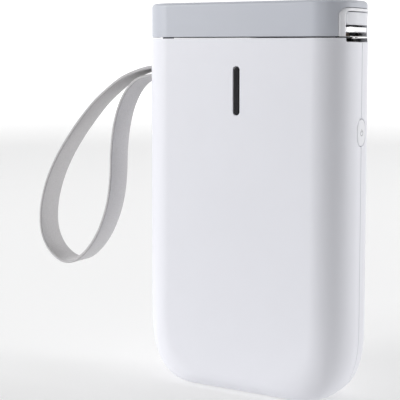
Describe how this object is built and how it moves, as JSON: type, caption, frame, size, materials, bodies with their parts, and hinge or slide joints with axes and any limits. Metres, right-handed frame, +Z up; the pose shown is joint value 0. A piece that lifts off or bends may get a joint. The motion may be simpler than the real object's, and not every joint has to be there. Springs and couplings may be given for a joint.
{
  "type": "thermal label printer",
  "caption": "Pocket thermal label printer that stands on its foot: rounded case, hinged cap with tear bar and release button, label roll, geared platen and a wrist strap.",
  "frame": {"origin": "middle of the case's foot, on the surface that it stands on", "axes": "+Z up; +X towards the end with the label exit; -Y the front with the indicator slot"},
  "size_m": [0.1266, 0.0282, 0.13],
  "materials": {
    "case_plastic": "off-white moulded ABS with a fine satin texture",
    "cap_plastic": "grey moulded ABS with a fine satin texture",
    "bezel_plastic": "polished light grey plastic",
    "button_plastic": "satin grey plastic",
    "polished_steel": "polished strip with a saw edge",
    "plain_steel": "plain turned or rolled steel",
    "brass_gear": "turned brass",
    "black_rubber": "ground silicone rubber",
    "black_plastic": "smoked gloss plastic",
    "chassis_plastic": "dark glass-filled moulding",
    "gear_plastic": "natural acetal",
    "head_ceramic": "glazed ceramic strip",
    "heatsink": "pressed aluminium",
    "label_paper": "blank thermal label stock",
    "core_card": "wound card tube",
    "board_green": "green solder mask",
    "cell_wrap": "grey foil pouch",
    "led_resin": "pale resin",
    "strap_band": "soft matte grey band"
  },
  "bodies": {
    "case": {"front_shell": "case_plastic", "rear_shell": "case_plastic", "chassis": "chassis_plastic", "strap_anchor": "chassis_plastic", "strap_bar": "plain_steel", "strap": "strap_band", "hinge_pin": "plain_steel", "reduction_pin": "plain_steel", "drive_motor": "plain_steel", "motor_screw_1": "plain_steel", "motor_screw_2": "plain_steel", "case_screw_1": "plain_steel", "case_screw_2": "plain_steel", "case_screw_3": "plain_steel", "case_screw_4": "plain_steel", "usb_socket": "plain_steel", "platen_bush_front": "gear_plastic", "platen_bush_rear": "gear_plastic", "roll_spindle_front": "gear_plastic", "roll_spindle_rear": "gear_plastic", "label_tape": "label_paper", "main_board": "board_green", "indicator_board": "board_green", "battery_cell": "cell_wrap", "indicator_led": "led_resin", "indicator_window": "black_plastic", "power_switch": "black_plastic"},
    "cap": {"cap_shell": "cap_plastic", "exit_bezel": "bezel_plastic", "tear_bar": "polished_steel", "cap_frame": "chassis_plastic", "head_pivot_pin": "plain_steel", "head_spring": "plain_steel", "release_spring": "plain_steel"},
    "release": {"release_button": "button_plastic", "latch_hook": "chassis_plastic"},
    "head": {"head_bracket": "heatsink", "print_head": "head_ceramic"},
    "platen": {"platen_shaft": "plain_steel", "platen_rubber": "black_rubber", "platen_gear": "gear_plastic"},
    "reduction": {"reduction_gear": "gear_plastic"},
    "rotor": {"motor_shaft": "plain_steel", "motor_pinion": "brass_gear"},
    "roll": {"label_roll": "label_paper", "roll_core": "core_card"},
    "power": {"power_button": "button_plastic"}
  },
  "joints": [
    {"name": "cap_hinge", "type": "hinge", "parent": "case", "child": "cap", "pos_m": [-0.0349, 0, 0.1213], "axis": [0, -1, 0], "range_deg": [0, 90]},
    {"name": "release_press", "type": "slide", "parent": "cap", "child": "release", "axis": [-1, 0, 0], "range_m": [0, 0.001], "stiffness_N_per_m": 400, "springref_m": -0.001, "deforming": ["release_spring"]},
    {"name": "head_pivot", "type": "hinge", "parent": "cap", "child": "head", "pos_m": [0.02, 0, 0.1236], "axis": [0, -1, 0], "range_deg": [0, 3], "stiffness_Nm_per_rad": 0.05, "springref_deg": -5.73, "deforming": ["head_spring"]},
    {"name": "roll_turn", "type": "hinge", "parent": "case", "child": "roll", "pos_m": [-0.009, 0, 0.1005], "axis": [0, 1, 0], "continuous": true},
    {"name": "platen_turn", "type": "hinge", "parent": "case", "child": "platen", "pos_m": [0.0276, 0, 0.1158], "axis": [0, 1, 0], "continuous": true},
    {"name": "reduction_turn", "type": "hinge", "parent": "case", "child": "reduction", "pos_m": [0.02171, 0, 0.11305], "axis": [0, 1, 0], "continuous": true},
    {"name": "rotor_turn", "type": "hinge", "parent": "case", "child": "rotor", "pos_m": [0.02353, 0, 0.10271], "axis": [0, 1, 0], "continuous": true},
    {"name": "power_press", "type": "slide", "parent": "case", "child": "power", "axis": [-1, 0, 0], "range_m": [0, 0.0008], "stiffness_N_per_m": 500, "springref_m": -0.0005}
  ],
  "couplings": [
    {"joint": "platen_turn", "follows": "roll_turn", "ratio": 6.5385},
    {"joint": "reduction_turn", "follows": "roll_turn", "ratio": -7.6282},
    {"joint": "rotor_turn", "follows": "roll_turn", "ratio": 19.071}
  ]
}
